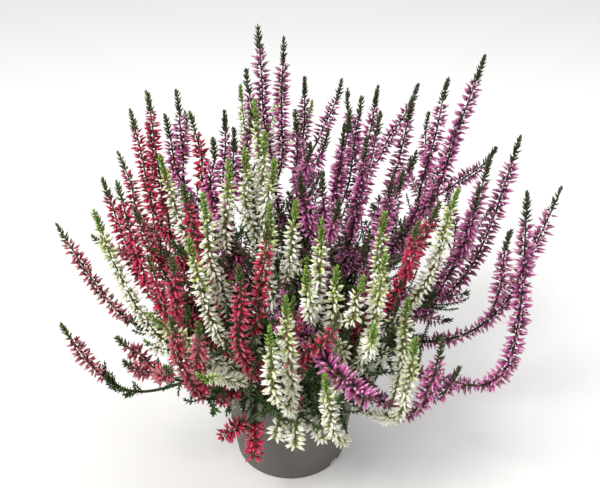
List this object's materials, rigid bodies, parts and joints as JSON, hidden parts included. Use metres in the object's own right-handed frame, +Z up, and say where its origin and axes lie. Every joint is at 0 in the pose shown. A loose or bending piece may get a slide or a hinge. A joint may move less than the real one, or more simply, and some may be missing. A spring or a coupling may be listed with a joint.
{
  "type": "potted heather",
  "caption": "Mixed red, white and purple bud heather growing together in a round plastic nursery pot, for a sill, table or doorstep.",
  "frame": {"origin": "middle of the pot's underside, on the surface that the pot stands on", "axes": "+Z up along the pot's axis, -Y towards the front that the picture shows, +X to the right"},
  "size_m": [0.3054, 0.2705, 0.311],
  "materials": {
    "pot_plastic": "matte",
    "potting_soil": "matte",
    "heather_leaf": "matte",
    "red_buds": "matte",
    "white_buds": "matte",
    "purple_buds": "matte"
  },
  "bodies": {
    "root": {"pot": "pot_plastic", "purple_heather": "heather_leaf", "purple_spray_36": "purple_buds", "purple_spray_37": "purple_buds", "purple_spray_38": "purple_buds", "purple_spray_39": "purple_buds", "purple_spray_40": "purple_buds", "purple_spray_41": "purple_buds", "purple_spray_42": "purple_buds", "purple_spray_43": "purple_buds", "purple_spray_44": "purple_buds", "purple_spray_45": "purple_buds", "purple_spray_46": "purple_buds", "purple_spray_47": "purple_buds", "purple_spray_48": "purple_buds", "purple_spray_49": "purple_buds", "purple_spray_50": "purple_buds", "purple_spray_51": "purple_buds", "purple_spray_52": "purple_buds", "purple_spray_53": "purple_buds", "purple_spray_54": "purple_buds", "purple_spray_55": "purple_buds", "red_heather": "heather_leaf", "red_spray_01": "red_buds", "red_spray_02": "red_buds", "red_spray_03": "red_buds", "red_spray_04": "red_buds", "red_spray_05": "red_buds", "red_spray_06": "red_buds", "red_spray_07": "red_buds", "red_spray_08": "red_buds", "red_spray_09": "red_buds", "red_spray_10": "red_buds", "red_spray_11": "red_buds", "red_spray_12": "red_buds", "red_spray_13": "red_buds", "red_spray_14": "red_buds", "red_spray_15": "red_buds", "red_spray_16": "red_buds", "soil": "potting_soil", "white_heather": "heather_leaf", "white_spray_17": "white_buds", "white_spray_18": "white_buds", "white_spray_19": "white_buds", "white_spray_20": "white_buds", "white_spray_21": "white_buds", "white_spray_22": "white_buds", "white_spray_23": "white_buds", "white_spray_24": "white_buds", "white_spray_25": "white_buds", "white_spray_26": "white_buds", "white_spray_27": "white_buds", "white_spray_28": "white_buds", "white_spray_29": "white_buds", "white_spray_30": "white_buds", "white_spray_31": "white_buds", "white_spray_32": "white_buds", "white_spray_33": "white_buds", "white_spray_34": "white_buds", "white_spray_35": "white_buds"}
  },
  "joints": []
}
